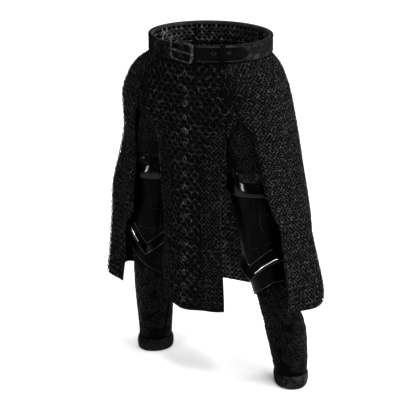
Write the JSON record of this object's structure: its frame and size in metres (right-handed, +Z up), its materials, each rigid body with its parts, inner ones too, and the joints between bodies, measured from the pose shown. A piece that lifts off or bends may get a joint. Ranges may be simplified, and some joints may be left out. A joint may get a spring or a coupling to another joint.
{
  "type": "belted mail skirt with plated leather leggings",
  "caption": "Knee-length mail skirt on a buckled leather belt, slit in front over each leg, with tooled leather leggings carrying thigh plates, knee lames and ankle cuffs.",
  "frame": {"origin": "centre of the waist at the belt's mid height", "axes": "+X is the wearer's left, -Y is the front, +Z is up"},
  "size_m": [0.6895, 0.3243, 1.0332],
  "materials": {
    "mail": "blackened steel rings, dull with brighter rubbed crowns",
    "strap_leather": "black smooth leather with a fine grain",
    "tooled_leather": "black leather tooled with scrolls",
    "plate_steel": "polished blackened steel plate",
    "buckle_steel": "dark steel, worn bright on the edges"
  },
  "bodies": {
    "root": {"mail_front": "mail", "mail_back": "mail", "mail_left": "mail", "mail_right": "mail", "belt_strap": "strap_leather", "belt_end": "strap_leather", "belt_keeper": "strap_leather", "waist_binding": "strap_leather", "buckle_frame": "buckle_steel", "buckle_prong": "buckle_steel", "hip_strap_left": "strap_leather", "ankle_cuff_left": "strap_leather", "legging_front_left": "tooled_leather", "legging_back_left": "tooled_leather", "cuisse_left": "plate_steel", "cuisse_rim_left": "plate_steel", "knee_lame_upper_left": "plate_steel", "knee_lame_lower_left": "plate_steel", "hip_strap_right": "strap_leather", "ankle_cuff_right": "strap_leather", "legging_front_right": "tooled_leather", "legging_back_right": "tooled_leather", "cuisse_right": "plate_steel", "cuisse_rim_right": "plate_steel", "knee_lame_upper_right": "plate_steel", "knee_lame_lower_right": "plate_steel"}
  },
  "joints": []
}
